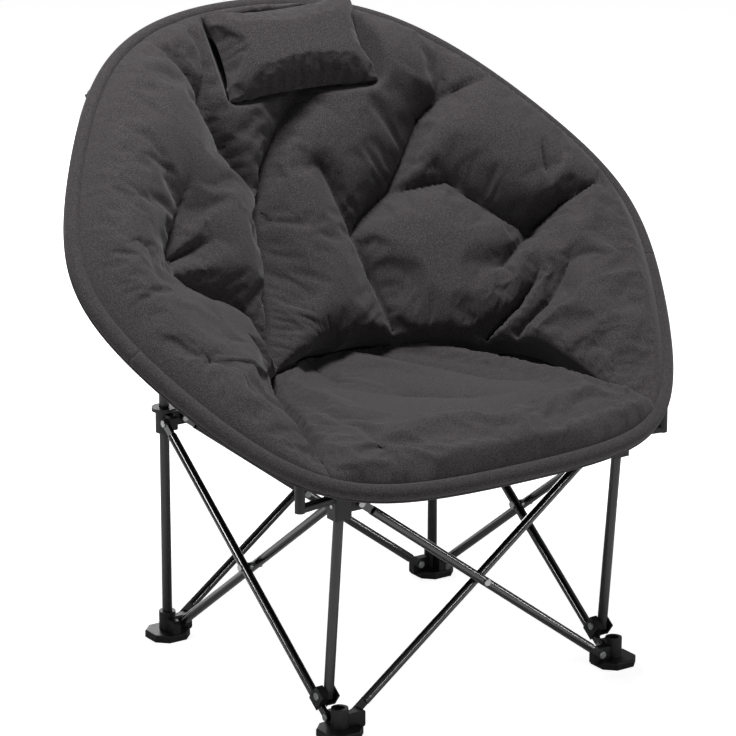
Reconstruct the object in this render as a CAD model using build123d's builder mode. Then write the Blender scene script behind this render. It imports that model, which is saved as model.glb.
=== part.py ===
from build123d import *
import os
from math import asin, cos, degrees, hypot, radians, sin, sqrt

os.makedirs("parts", exist_ok=True)

# ---- Driving dimensions, in mm. The chair faces -Y, +Z is up, and the floor is z = 0. ----
frame_width = 526.0            # between the leg corners, left to right
frame_depth = 502.0            # between the leg corners, front to rear
frame_y = -51.0                # middle of the four corners
reach_x = 32.0                 # corner to the pivots of the front and rear braces
reach_y = 20.0                 # corner to the pivots of the side braces
foot_pivot_z = 24.0
hub_rise = 346.5               # from the foot pivots up to the hub pivots, chair open
tube_d = 16.0
brace_d = 15.0
tube_wall = 1.2
brace_offset = 10.0            # from a side's mid-plane to its outer or inner brace
tang_t = 6.0                   # flattened end of a brace
tang_len = 26.0
tang_h = 13.0
tang_lap = 2.0                 # how far a flattened end runs into the round tube
rivet_d = 6.0
rivet_head_d = 12.0
rivet_head_h = 2.4
rivet_round = 1.0
rivet_inset = 5.0              # how far a rivet's shank goes into its lug
rivet_hole = 8.0               # depth of the hole bored for it, out through the lug's face
spacer_wall = 1.5              # bush in a brace's middle, round its crossing rivet
pivot_clear = 0.05             # radial, rivet in its hole
side_clear = 0.2               # between a tang and its lug
slide_clear = 0.25             # radial, hub collar on a rear leg
lug_w = 22.0
lug_round = 4.0
foot_lug_rise = 9.0            # above the foot's pivots
hub_lug_rise = 12.0            # above and below the hub's pivots
foot_size = 66.0               # across the octagonal sole
foot_h = 12.0
foot_corner = 17.0
foot_round = 2.5
socket_d = 27.0
socket_top = 44.0
socket_floor = 8.0
hub_d = 28.0
hub_h = 42.0
hub_plate = 6.0
hub_flange = 6.0               # how far the hub's top plate stands out
block_round = 3.0              # corners of the front hubs, their arms and the clips
front_hub_w = 30.0
front_hub_l = 26.4
leg_bend_z = 632.0             # where a rear leg starts to lean back
clip_up = 28.0                 # clip pivot from the foot's pivot, along the brace
rim_tube_d = 16.0
sleeve_d = 25.0
sleeve_bore = 16.6
coupler_d = 25.0
coupler_clear = 0.4
coupler_turn = (60, 10, 20)     # degrees, keeps a ball's seam clear of its bores
coupler_end = 5.0              # from a joint's middle to the tube ends in its coupler
cup_grip = 0.3                 # how far a hub's cup reaches up its ball, per diameter
bore_reach = 0.6               # length of a coupler's bores, per diameter
sleeve_stop = 1.0              # from a coupler to the sleeve's end
pad_gap = 3.5                  # from the edge of a pad's base to the seam
pad_edge = 0.88                # side height of a pad, as a share of its crown
pad_crown = 70.0
pad_lean = 0.36                # how far a pad's sides lean in, per height
cloth_t = 1.6
cloth_gap = 0.6                # between a pad and the cloth it lies on
arm_w = 16.0                   # front hub's arm up to the rim
arm_t = 11.0
pocket_l = 21.2                # slot in a front hub where its leg swings
pocket_back = 1.6
pocket_top = 10.0
leg_pin_l = 30.0
ball_clear = 0.3
leg_bend_r = 45.0
leg_over = 7.0                 # a front leg's ends beyond their pins
leg_top_out = 30.0             # a rear leg's end behind the rim
ball_stub_d = 15.0             # leg cap's reach to the rim's coupler
cap_l = 20.0
cap_wall = 2.6
leg_top_way = Vector(0.05, 0.80, -0.60).normalized()   # from the rim back to a leg's end
clip_pivot_h = 20.0            # clip rivet above the brace it rides on
clip_l = 24.0
clip_wall = 4.0
clip_over = 2.0                # how far its sides go past the rivet
clip_ear = 9.0
clip_slot_floor = 11.0
clip_inner_end = 15.5          # how far down its side away from the brace reaches
bowl_power = 1.25              # how fast the bowl steepens towards the rim

side_brace_angle = degrees(asin(hub_rise / hypot(frame_depth - 2 * reach_y, hub_rise)))
hub_pivot_z = foot_pivot_z + hub_rise

# The rim's centre line on the right, from the back round to the front, set out from the frame.
corner_x = frame_width / 2
front_y = frame_y - frame_depth / 2
rear_y = frame_y + frame_depth / 2
rim_back = Vector(0, rear_y + 206, hub_pivot_z + 600.5)
rim_shoulder = Vector(corner_x + 47, rear_y + 101, hub_pivot_z + 532.5)
rim_wing = Vector(corner_x + 208, rear_y - 82, hub_pivot_z + 377.5)
rim_knuckle = Vector(corner_x + 223, front_y + 213, hub_pivot_z + 215.5)
rim_arm = Vector(corner_x + 173, front_y + 112, hub_pivot_z + 143.5)
rim_hub = Vector(corner_x + 79, front_y - 13, hub_pivot_z + 63.5)
rim_corner = Vector(corner_x - 63, front_y - 85, hub_pivot_z + 33.5)
rim_front = Vector(0, front_y - 104, hub_pivot_z + 30.5)
bowl = Vector(0, frame_y + 62, hub_pivot_z - 52.5)   # lowest point of the slung cloth

corners = {
    "fl": Vector(-corner_x, front_y, 0),
    "fr": Vector(corner_x, front_y, 0),
    "rr": Vector(corner_x, rear_y, 0),
    "rl": Vector(-corner_x, rear_y, 0),
}
# A side runs from its first corner to its second, with its outward normal.
sides = {
    "front": ("fl", "fr", Vector(1, 0, 0), Vector(0, -1, 0), reach_x),
    "right": ("fr", "rr", Vector(0, 1, 0), Vector(1, 0, 0), reach_y),
    "rear": ("rr", "rl", Vector(-1, 0, 0), Vector(0, 1, 0), reach_x),
    "left": ("rl", "fl", Vector(0, -1, 0), Vector(-1, 0, 0), reach_y),
}
up = Vector(0, 0, 1)
lug_t = 2 * (brace_offset - tang_t / 2 - side_clear)


def save(part, name):
    part.label = name
    export_step(part, f"parts/{name}.step")


def pivot(side, corner, height):
    """Point in a side's mid-plane where its braces are pinned near a corner."""
    first, second, along, normal, reach = sides[side]
    direction = along if corner == first else along * -1
    return corners[corner] + direction * reach + up * height


def rivet(centre, normal, start, end):
    """Shank from start to end along the normal, with a head beyond the end."""
    shank = Plane(origin=centre + normal * start, z_dir=normal)
    with BuildPart() as pin:
        with BuildSketch(shank):
            Circle(rivet_d / 2)
        extrude(amount=end - start)
        with BuildSketch(shank.offset(end - start)):
            Circle(rivet_head_d / 2)
        extrude(amount=rivet_head_h)
        fillet(pin.faces().sort_by(Axis(tuple(centre), tuple(normal)))[-1].edges(), rivet_round)
    return pin.part


# ---- Braces: round tube with a flattened, bored end at each pivot and a bored middle ----
def brace(side, outer):
    first, second, along, normal, reach = sides[side]
    sign = 1 if outer else -1
    low_corner, high_corner = (second, first) if outer else (first, second)
    low = pivot(side, low_corner, foot_pivot_z) + normal * (sign * brace_offset)
    high = pivot(side, high_corner, hub_pivot_z) + normal * (sign * brace_offset)
    run = (high - low).normalized()
    frame = Plane(origin=low, x_dir=normal, z_dir=run)
    body_len = (high - low).length - 2 * tang_len
    with BuildPart() as tube:
        with BuildSketch(frame.offset(tang_len)):
            Circle(brace_d / 2)
            Circle(brace_d / 2 - tube_wall, mode=Mode.SUBTRACT)
        extrude(amount=body_len)
        for place, way in ((low, 1), (high, -1)):
            end_plane = Plane(origin=place, x_dir=run * way, z_dir=normal)
            with BuildSketch(end_plane.offset(-tang_t / 2)):
                with Locations(((tang_len + tang_lap) / 2, 0)):
                    Rectangle(tang_len + tang_lap, tang_h)
                Circle(tang_h / 2)
            extrude(amount=tang_t)
        middle = (low + high) * 0.5
        with BuildSketch(Plane(origin=middle - normal * brace_d, x_dir=run, z_dir=normal)):
            Circle(rivet_d / 2 + spacer_wall)
        extrude(amount=2 * brace_d, mode=Mode.SUBTRACT)
        bush_l = brace_d - tube_wall
        with BuildSketch(Plane(origin=middle - normal * bush_l / 2, x_dir=run, z_dir=normal)):
            Circle(rivet_d / 2 + spacer_wall)
            Circle(rivet_d / 2 + pivot_clear, mode=Mode.SUBTRACT)
        extrude(amount=bush_l)
        for place in (low, high):
            with BuildSketch(Plane(origin=place - normal * tang_t, x_dir=run, z_dir=normal)):
                Circle(rivet_d / 2 + pivot_clear)
            extrude(amount=2 * tang_t, mode=Mode.SUBTRACT)
    return tube.part


for side in sides:
    save(brace(side, True), f"{side}_brace_outer")
    save(brace(side, False), f"{side}_brace_inner")
    first, second, along, normal, reach = sides[side]
    centre = (pivot(side, first, foot_pivot_z) + pivot(side, second, hub_pivot_z)) * 0.5
    reach_out = brace_offset + brace_d / 2 + side_clear
    with BuildPart() as cross_rivet:
        add(rivet(centre, normal, -reach_out, reach_out))
        with BuildSketch(Plane(origin=centre - normal * (reach_out + rivet_head_h), z_dir=normal)):
            Circle(rivet_head_d / 2)
        extrude(amount=rivet_head_h)
        spacer = brace_offset - brace_d / 2 - side_clear
        with BuildSketch(Plane(origin=centre - normal * spacer, z_dir=normal)):
            Circle(rivet_head_d / 2)
        extrude(amount=2 * spacer)
    save(cross_rivet.part, f"{side}_cross_rivet")


# ---- Lugs: a foot or hub has one on each of its two sides ----
def corner_sides(corner):
    """(side, outward sign of the brace pinned low, sign of the brace pinned high)."""
    found = []
    for side, (first, second, along, normal, reach) in sides.items():
        if corner == first:
            found.append((side, -1, 1))
        if corner == second:
            found.append((side, 1, -1))
    return found


def lug(side, corner, height, down, rise):
    """Upright plate in the side's mid-plane from the corner past the pivot."""
    first, second, along, normal, reach = sides[side]
    direction = along if corner == first else along * -1
    base = corners[corner] + up * (height - down)
    with BuildPart() as plate:
        with BuildSketch(Plane(origin=base, x_dir=direction, z_dir=up)):
            with Locations(((reach + lug_w / 2) / 2, 0)):
                Rectangle(reach + lug_w / 2, lug_t)
        extrude(amount=down + rise)
        outer_end = Axis((0, 0, 0), tuple(direction))
        ends = plate.faces().sort_by(outer_end)[-1].edges()
        fillet(ends.filter_by(Axis.Z, reverse=True), lug_round)
    return plate.part


def corner_rivets(corner, height, high):
    pins = []
    for side, low_sign, high_sign in corner_sides(corner):
        sign = high_sign if high else low_sign
        normal = sides[side][3] * sign
        pins.append(rivet(pivot(side, corner, height), normal, lug_t / 2 - rivet_inset,
                          brace_offset + tang_t / 2 + side_clear))
    return pins


# ---- Feet: octagonal sole, leg socket and two lugs ----
for corner, spot in corners.items():
    with BuildPart() as foot:
        with BuildSketch(Plane(origin=spot)):
            Rectangle(foot_size, foot_size)
            chamfer(vertices(), foot_corner)
        extrude(amount=foot_h)
        fillet(foot.faces().sort_by(Axis.Z)[-1].edges(), foot_round)
        with BuildSketch(Plane(origin=spot)):
            Circle(socket_d / 2)
        extrude(amount=socket_top)
        for side, low_sign, high_sign in corner_sides(corner):
            add(lug(side, corner, foot_pivot_z, foot_pivot_z - foot_h / 2, foot_lug_rise))
        with BuildSketch(Plane(origin=spot + up * socket_floor)):
            Circle(tube_d / 2 + slide_clear)
        extrude(amount=socket_top, mode=Mode.SUBTRACT)
        for side, low_sign, high_sign in corner_sides(corner):
            normal = sides[side][3] * low_sign
            hole = pivot(side, corner, foot_pivot_z) + normal * (lug_t / 2 - rivet_inset)
            with BuildSketch(Plane(origin=hole, z_dir=normal)):
                Circle(rivet_d / 2)
            extrude(amount=rivet_hole, mode=Mode.SUBTRACT)
    save(foot.part, f"foot_{corner}")
    save(Compound(children=corner_rivets(corner, foot_pivot_z, False)), f"foot_rivets_{corner}")


# ---- Hubs: the rear pair slide on the rear legs, the front pair hold the front legs' tops ----
rim_hub_left = Vector(-rim_hub.X, rim_hub.Y, rim_hub.Z)


def hub(corner):
    front = corner in ("fl", "fr")
    spot = corners[corner] + up * hub_pivot_z
    rim_seat = rim_hub_left if corner == "fl" else rim_hub
    with BuildPart() as body:
        with BuildSketch(Plane(origin=spot - up * hub_h / 2)):
            if front:
                RectangleRounded(front_hub_w, front_hub_l, block_round)
            else:
                Circle(hub_d / 2)
        extrude(amount=hub_h)
        with BuildSketch(Plane(origin=spot + up * (hub_h / 2 - hub_plate))):
            Circle(hub_d / 2 + hub_flange)
        extrude(amount=hub_plate)
        for side, low_sign, high_sign in corner_sides(corner):
            add(lug(side, corner, hub_pivot_z, hub_lug_rise, hub_lug_rise))
        if front:
            start = spot + up * (hub_h / 2 - hub_plate / 2 - arm_t / 2)
            under = Vector(rim_seat.X, rim_seat.Y, start.Z)
            way = (under - start).normalized()
            with BuildSketch(Plane(origin=start, x_dir=way.cross(up), z_dir=way)):
                RectangleRounded(arm_w, arm_t, block_round)
            extrude(amount=(under - start).length)
            with BuildSketch(Plane(origin=under - up * arm_t / 2)):
                Circle(arm_w / 2)
            extrude(amount=rim_seat.Z - under.Z - coupler_d * cup_grip)
            with BuildSketch(Plane(origin=spot - up * hub_h / 2)):
                with Locations((0, pocket_back)):
                    Rectangle(tube_d + 2 * side_clear, pocket_l)
            extrude(amount=hub_h / 2 + pocket_top, mode=Mode.SUBTRACT)
            with BuildSketch(Plane(origin=spot - Vector(leg_pin_l / 2, 0, 0), z_dir=(1, 0, 0))):
                Circle(rivet_d / 2)
            extrude(amount=leg_pin_l, mode=Mode.SUBTRACT)
            with Locations(rim_seat):
                Sphere(coupler_d / 2 + ball_clear, mode=Mode.SUBTRACT)
        else:
            with BuildSketch(Plane(origin=spot - up * hub_h)):
                Circle(tube_d / 2 + slide_clear)
            extrude(amount=2 * hub_h, mode=Mode.SUBTRACT)
        for side, low_sign, high_sign in corner_sides(corner):
            normal = sides[side][3] * high_sign
            hole = pivot(side, corner, hub_pivot_z) + normal * (lug_t / 2 - rivet_inset)
            with BuildSketch(Plane(origin=hole, z_dir=normal)):
                Circle(rivet_d / 2)
            extrude(amount=rivet_hole, mode=Mode.SUBTRACT)
    return body.part


for corner in corners:
    save(hub(corner), f"hub_{corner}")
    pins = corner_rivets(corner, hub_pivot_z, True)
    if corner in ("fl", "fr"):
        spot = corners[corner] + up * hub_pivot_z
        with BuildPart() as leg_pin:
            with BuildSketch(Plane(origin=spot - Vector(leg_pin_l / 2, 0, 0), z_dir=(1, 0, 0))):
                Circle(rivet_d / 2)
            extrude(amount=leg_pin_l)
        pins.append(leg_pin.part)
    save(Compound(children=pins), f"hub_rivets_{corner}")


# ---- Legs ----
def mirrored(point, right):
    return point if right else Vector(-point.X, point.Y, point.Z)


for corner in ("rl", "rr"):
    shoulder = mirrored(rim_shoulder, corner == "rr")
    outward = mirrored(leg_top_way, corner == "rr")
    foot_end = corners[corner] + up * (socket_floor + side_clear)
    bend = corners[corner] + up * leg_bend_z
    leg_end = shoulder + outward * leg_top_out
    lean = (leg_end - bend).normalized()
    with BuildPart() as leg:
        with BuildLine() as run:
            FilletPolyline(foot_end, bend, leg_end, radius=leg_bend_r)
        with BuildSketch(Plane(origin=foot_end)):
            Circle(tube_d / 2)
            Circle(tube_d / 2 - tube_wall, mode=Mode.SUBTRACT)
        sweep(path=run.line)
    save(leg.part, f"leg_{corner}")
    with BuildPart() as cap:
        with BuildSketch(Plane(origin=leg_end - lean * cap_l, z_dir=lean)):
            Circle(tube_d / 2 + cap_wall)
        extrude(amount=cap_l + cap_wall)
        with BuildSketch(Plane(origin=leg_end, z_dir=outward * -1)):
            Circle(ball_stub_d / 2)
        extrude(amount=leg_top_out)
        with BuildSketch(Plane(origin=leg_end - lean * cap_l * 2, z_dir=lean)):
            Circle(tube_d / 2 + pivot_clear)
        extrude(amount=cap_l * 2 + pivot_clear, mode=Mode.SUBTRACT)
        with Locations(shoulder):
            Sphere(coupler_d / 2 + ball_clear, mode=Mode.SUBTRACT)
    save(cap.part, f"leg_cap_{corner}")

for corner, side in (("fl", "left"), ("fr", "right")):
    normal = sides[side][3]
    top = corners[corner] + up * hub_pivot_z
    along = Vector(0, cos(radians(side_brace_angle)), sin(radians(side_brace_angle)))
    above = Vector(0, -sin(radians(side_brace_angle)), cos(radians(side_brace_angle)))
    low = pivot(side, corner, foot_pivot_z) + along * clip_up + above * clip_pivot_h
    lean = (low - top).normalized()
    across = Plane(origin=top, x_dir=(1, 0, 0), z_dir=lean)
    leg_len = (low - top).length
    with BuildPart() as leg:
        with BuildSketch(across.offset(-leg_over)):
            Circle(tube_d / 2)
            Circle(tube_d / 2 - tube_wall, mode=Mode.SUBTRACT)
        extrude(amount=leg_len + 2 * leg_over)
        for spot in (top, low):
            with BuildSketch(Plane(origin=spot - Vector(tube_d, 0, 0), z_dir=(1, 0, 0))):
                Circle(rivet_d / 2 + pivot_clear)
            extrude(amount=2 * tube_d, mode=Mode.SUBTRACT)
    save(leg.part, f"leg_{corner}")

    # The clip sits over the outer side brace and holds the leg's foot between two ears.
    block = Plane(origin=low, x_dir=(1, 0, 0), z_dir=along)
    low_sign = 1 if side == "left" else -1
    brace_x = normal.X * low_sign * brace_offset
    channel = brace_d / 2 + slide_clear
    outward = normal * low_sign
    inner_x = -outward.X * (tube_d / 2 + clip_wall)
    outer_x = outward.X * (brace_offset + channel + clip_wall)
    with BuildPart() as clip:
        with BuildSketch(block.offset(-clip_l / 2)):
            with Locations(((inner_x + outer_x) / 2, (clip_pivot_h + clip_over - clip_ear) / 2)):
                RectangleRounded(abs(outer_x - inner_x), clip_pivot_h + clip_over + clip_ear, block_round)
        extrude(amount=clip_l)
        with BuildSketch(block.offset(-clip_l)):
            with Locations((0, clip_slot_floor - clip_l)):
                Rectangle(tube_d + 2 * side_clear, 2 * clip_l)
        extrude(amount=2 * clip_l, mode=Mode.SUBTRACT)
        with BuildSketch(block.offset(-clip_l)):
            with Locations((brace_x, clip_pivot_h)):
                Circle(channel)
            with Locations((brace_x, clip_pivot_h + clip_l)):
                Rectangle(2 * channel, 2 * clip_l)
        extrude(amount=2 * clip_l, mode=Mode.SUBTRACT)
        with BuildSketch(block.offset(-clip_l)):
            with Locations((brace_x - outward.X * (channel + clip_l), clip_inner_end + clip_l)):
                Rectangle(2 * clip_l, 2 * clip_l)
        extrude(amount=2 * clip_l, mode=Mode.SUBTRACT)
        with BuildSketch(Plane(origin=low - outward * clip_l, z_dir=outward)):
            Circle(rivet_d / 2)
        extrude(amount=2 * clip_l, mode=Mode.SUBTRACT)
    save(clip.part, f"clip_{corner}")
    save(rivet(low, outward, -tube_d / 2 - clip_wall, abs(outer_x)), f"clip_rivet_{corner}")


# ---- Rim: bent tubes that meet in ball-shaped couplers, in a fabric sleeve ----
def rim_arc(start, through, end):
    """Trimmed arcs of one rim tube: (for the tube, for its sleeve)."""
    edge = Edge.make_three_point_arc(start, through, end)
    bare = coupler_end / edge.length
    clear = (coupler_d / 2 + sleeve_stop) / edge.length
    return Wire([edge.trim(bare, 1 - bare)]), Wire([edge.trim(clear, 1 - clear)])


def front_arc():
    """The front tube: a shallow arc with a tangent arc at each end."""
    corner_l, corner_r = mirrored(rim_corner, False), rim_corner
    middle = Edge.make_three_point_arc(corner_l, rim_front, corner_r)
    ends = []
    for place, way, target in (
        (corner_r, middle % 1, rim_hub),
        (corner_l, (middle % 0) * -1, rim_hub_left),
    ):
        edge = Edge.make_tangent_arc(place, way, target)
        ends.append(edge)
    paths = []
    for cut in (coupler_end, coupler_d / 2 + sleeve_stop):
        right = ends[0].trim(0, 1 - cut / ends[0].length)
        left = ends[1].trim(0, 1 - cut / ends[1].length)
        paths.append(Wire([left, middle, right]))
    return tuple(paths)


def pipe(path, outside, inside):
    with BuildPart() as tube:
        with BuildSketch(Plane(origin=path @ 0, z_dir=path % 0)):
            Circle(outside / 2)
            if inside:
                Circle(inside / 2, mode=Mode.SUBTRACT)
        sweep(path=path)
    return tube.part


back_path = rim_arc(mirrored(rim_shoulder, False), rim_back, rim_shoulder)
side_paths = [
    rim_arc(mirrored(rim_shoulder, right), mirrored(rim_wing, right), mirrored(rim_knuckle, right))
    for right in (False, True)
]
arm_paths = [
    rim_arc(mirrored(rim_knuckle, right), mirrored(rim_arm, right), mirrored(rim_hub, right))
    for right in (False, True)
]
front_path = front_arc()
rim_inside = rim_tube_d - 2 * tube_wall
save(pipe(back_path[0], rim_tube_d, rim_inside), "rim_tube_back")
save(pipe(front_path[0], rim_tube_d, rim_inside), "rim_tube_front")
for paths, name in ((side_paths, "rim_tubes_side"), (arm_paths, "rim_tubes_arm")):
    save(Compound(children=[pipe(p[0], rim_tube_d, rim_inside) for p in paths]), name)
save(
    Compound(children=[pipe(p[1], sleeve_d, sleeve_bore) for p in [back_path] + side_paths]),
    "rim_sleeve_back",
)
save(
    Compound(children=[pipe(p[1], sleeve_d, sleeve_bore) for p in [front_path] + arm_paths]),
    "rim_sleeve_front",
)


def couplers(point, groups):
    """A ball at each side's joint, bored for the tubes that plug into it."""
    balls = []
    for index, right in enumerate((False, True)):
        centre = mirrored(point, right)
        with BuildPart() as ball:
            with Locations(centre):
                Sphere(coupler_d / 2, rotation=coupler_turn)
            with BuildPart(mode=Mode.SUBTRACT):
                for group in groups:
                    tube = group[index]
                    near_start = (tube @ 0 - centre).length < (tube @ 1 - centre).length
                    mouth = tube @ 0 if near_start else tube @ 1
                    inwards = tube @ 0.01 if near_start else tube @ 0.99
                    way = (inwards - mouth).normalized()
                    with BuildSketch(Plane(origin=mouth - way * coupler_clear, z_dir=way)):
                        Circle(rim_tube_d / 2 + coupler_clear)
                    extrude(amount=coupler_d * bore_reach)
        balls.append(ball.part)
    return Compound(children=balls)


both_back = (back_path[0], back_path[0])
both_front = (front_path[0], front_path[0])
side_tubes = [p[0] for p in side_paths]
arm_tubes = [p[0] for p in arm_paths]
save(couplers(rim_shoulder, (both_back, side_tubes)), "rim_coupler_shoulder")
save(couplers(rim_knuckle, (side_tubes, arm_tubes)), "rim_knuckle")
save(couplers(rim_hub, (arm_tubes, both_front)), "rim_coupler_hub")


# ---- Slung seat: padded panels between sewn seams, over a thin cloth ----
def bowl_point(rim_point, share):
    """Point of the slung cloth on the way from the bowl's bottom to the rim."""
    flat = bowl + (rim_point - bowl) * share
    height = bowl.Z + (rim_point.Z - bowl.Z) * share**bowl_power
    return Vector(flat.X, flat.Y, height)


def panel_sections(first, second, middle, rim_clear):
    """Planes, half widths and sags of a panel, from its inner end to the rim.

    first and second are (rim point, inner share) of the two seams.
    """
    sections = []
    for step in panel_steps:
        places = []
        for rim_point, inner in (first, second, middle):
            outer = 1 - (sleeve_d / 2 + rim_clear) / (rim_point - bowl).length
            places.append(bowl_point(rim_point, inner + (outer - inner) * step))
        left, right, low = places
        chord = (right - left).normalized()
        centre = (left + right) * 0.5
        lift = centre - low
        lift = lift - chord * lift.dot(chord)
        sag = lift.length
        normal = chord.cross(lift.normalized())
        sections.append((Plane(origin=centre - lift, x_dir=chord, z_dir=normal),
                         (right - left).length / 2, sag))
    return sections


def rise(half, sag, across):
    """Height of a circular arc above its lowest point, at a distance across."""
    radius = (half**2 + sag**2) / (2 * sag)
    return radius - sqrt(radius**2 - across**2)


def lens(plane, half, sag, edge, crown):
    """Section of a pad: sagging base, short sides that lean in, crowned top."""
    lean = edge * pad_lean
    with BuildSketch(plane) as face:
        with BuildLine():
            ThreePointArc((-half, sag), (0, 0), (half, sag))
            Line((half, sag), (half - lean, sag + edge))
            ThreePointArc((half - lean, sag + edge), (0, crown), (-half + lean, sag + edge))
            Line((-half + lean, sag + edge), (-half, sag))
        make_face()
    return face.sketch


def band(plane, half, sag):
    """Section of the cloth under a pad."""
    low, deep = -cloth_gap, -cloth_gap - cloth_t
    with BuildSketch(plane) as face:
        with BuildLine():
            ThreePointArc((-half, sag + deep), (0, deep), (half, sag + deep))
            Line((half, sag + deep), (half, sag + low))
            ThreePointArc((half, sag + low), (0, low), (-half, sag + low))
            Line((-half, sag + low), (-half, sag + deep))
        make_face()
    return face.sketch


def lofted(faces):
    with BuildPart() as body:
        loft(sections=faces)
    return body.part


def panel(first, second, middle, rim_clear):
    """(pad, cloth) of one panel."""
    pads, cloths = [], []
    for (plane, half, sag), height in zip(
        panel_sections(first, second, middle, rim_clear), panel_heights
    ):
        inner = half - pad_gap
        pad_sag = rise(half, sag, inner)
        edge = pad_crown * height * pad_edge
        crown = max(sag * sag_share + pad_crown * height, pad_sag + edge + least_crown)
        pads.append(lens(plane, inner, pad_sag, edge, crown))
        cloths.append(band(plane, half - pad_gap / 4, sag))
    return lofted(pads), lofted(cloths)


panel_steps = (0.0, 0.3, 0.6, 0.85, 1.0)        # sections on the way from the inner end to the rim
panel_heights = (0.62, 1.0, 1.0, 0.78, 0.16)    # their heights, as shares of the crown
rim_clears = {"back": 0.15, "shoulder": 1.2, "wing": 1.9, "arm": 2.2}
sag_share = 0.58               # how much of the cloth's sag a pad's crown fills
least_crown = 3.0
# Each panel: its two seams and its middle, each as (rim point, share where its inner end starts).
seams = {
    "back": ((rim_back, 0.27), (rim_shoulder, 0.33), (back_path[0] @ 0.75, 0.29)),
    "shoulder": ((rim_shoulder, 0.33), (rim_wing, 0.40), (side_paths[1][0] @ 0.25, 0.37)),
    "wing": ((rim_wing, 0.40), (rim_knuckle, 0.48), (side_paths[1][0] @ 0.75, 0.44)),
    "arm": ((rim_knuckle, 0.48), (rim_hub, 0.82), (arm_paths[1][0] @ 0.5, 0.62)),
}


def side_seams(name, right):
    first, second, middle = seams[name]
    found = [(mirrored(point, right), share) for point, share in (first, second, middle)]
    return found if right else [found[1], found[0], found[2]]


back_cloths, seat_cloths = [], []
for name in seams:
    for right, tag in ((False, "left"), (True, "right")):
        pad, cloth = panel(*side_seams(name, right), rim_clears[name])
        save(pad, f"pad_{name}_{tag}")
        (seat_cloths if name == "arm" else back_cloths).append(cloth)

# The seat pad is lofted from front to rear through rows of (y from the front corners, half width
# from the corners, base above the bowl's lowest point, sag, height share).
seat_rows = (
    (-81.8, -123, 76, 8, 0.3),
    (-48, -67, 70, 16, 0.75),
    (12, -35, 57, 32, 1.0),
    (102, -55, 36, 50, 1.05),
    (242, -101, 10, 56, 1.2),
    (322, -137, 24, 32, 1.15),
    (358, -159, 44, 18, 0.8),
)
seat_faces, seat_bands = [], []
for row_y, row_half, base, sag, height in seat_rows:
    half = corner_x + row_half
    plane = Plane(origin=(0, front_y + row_y, bowl.Z + base), x_dir=(1, 0, 0), z_dir=(0, -1, 0))
    edge = pad_crown * height * pad_edge
    crown = max(sag * sag_share + pad_crown * height, sag + edge + least_crown)
    seat_faces.append(lens(plane, half, sag, edge, crown))
    seat_bands.append(band(plane, half, sag))
save(lofted(seat_faces), "pad_seat")
seat_cloths.append(lofted(seat_bands))
save(Compound(children=back_cloths), "cloth_back")
save(Compound(children=seat_cloths), "cloth_seat")

# ---- Head pillow: a small crowned cushion at the top of the back ----
pillow_width = 278.0
pillow_depth = 156.0
pillow_thick = 78.0
pillow_edge = 8.0              # thickness left at its long edges
pillow_waist = 0.93            # its depth in the middle, as a share of the depth at its ends
pillow_at = Vector(42, rear_y + 92.8, hub_pivot_z + 543)
pillow_tilt = 33.0             # its back leans away from upright
# Its sections: (place along the width from -1 to 1, thickness share).
pillow_rows = ((-1, 0.2), (-0.8, 0.7), (-0.4, 0.95), (0.4, 0.95), (0.8, 0.7), (1, 0.2))
pillow_down = Vector(0, -sin(radians(pillow_tilt)), -cos(radians(pillow_tilt)))
pillow_faces = []
for place, height in pillow_rows:
    origin = pillow_at + Vector(place * pillow_width / 2, 0, 0)
    half = pillow_depth / 2 * (pillow_waist + (1 - pillow_waist) * abs(place))
    crown = pillow_thick / 2 * height
    edge = pillow_edge / 2
    with BuildSketch(Plane(origin=origin, x_dir=pillow_down, z_dir=(1, 0, 0))) as face:
        with BuildLine():
            ThreePointArc((-half, -edge), (0, -crown), (half, -edge))
            Line((half, -edge), (half, edge))
            ThreePointArc((half, edge), (0, crown), (-half, edge))
            Line((-half, edge), (-half, -edge))
        make_face()
    pillow_faces.append(face.sketch)
save(lofted(pillow_faces), "pillow")
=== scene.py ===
import bpy
import numpy as np
from mathutils import Euler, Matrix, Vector


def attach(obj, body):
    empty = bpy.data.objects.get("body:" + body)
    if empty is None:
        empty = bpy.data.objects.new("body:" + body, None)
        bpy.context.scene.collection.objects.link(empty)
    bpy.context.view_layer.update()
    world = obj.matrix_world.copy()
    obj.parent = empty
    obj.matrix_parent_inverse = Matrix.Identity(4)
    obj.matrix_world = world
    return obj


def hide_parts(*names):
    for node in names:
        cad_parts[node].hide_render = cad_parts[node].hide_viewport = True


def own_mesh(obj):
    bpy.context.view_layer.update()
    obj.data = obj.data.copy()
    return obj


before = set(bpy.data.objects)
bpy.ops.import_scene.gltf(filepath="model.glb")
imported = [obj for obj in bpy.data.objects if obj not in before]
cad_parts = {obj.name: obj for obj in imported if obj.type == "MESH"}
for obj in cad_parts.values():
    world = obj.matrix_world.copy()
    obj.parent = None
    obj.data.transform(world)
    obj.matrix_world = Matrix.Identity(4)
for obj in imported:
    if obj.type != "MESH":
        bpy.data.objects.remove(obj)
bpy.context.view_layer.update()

# ---- Feet, hubs, leg clips and leg caps ----
# Injection-moulded black ABS, textured in the mould. Each foot is riveted to its two braces. The
# rear legs stand in the rear feet and the rear hubs slide on them as the frame folds; the front
# legs hang from the front hubs and end in clips on the side braces.
PLASTIC_HEX = "#0e0e0f"
MOULD_GRAIN = 0.0012           # spark-eroded texture of the mould, drawn about three times too coarse


def linear(hex_value):
    """sRGB hex to linear RGBA: each channel over 12.92, or raised to 2.4 above the toe."""
    channels = [int(hex_value[i:i + 2], 16) / 255 for i in (1, 3, 5)]
    return tuple(c / 12.92 if c <= 0.04045 else ((c + 0.055) / 1.055) ** 2.4 for c in channels) + (1.0,)


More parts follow.
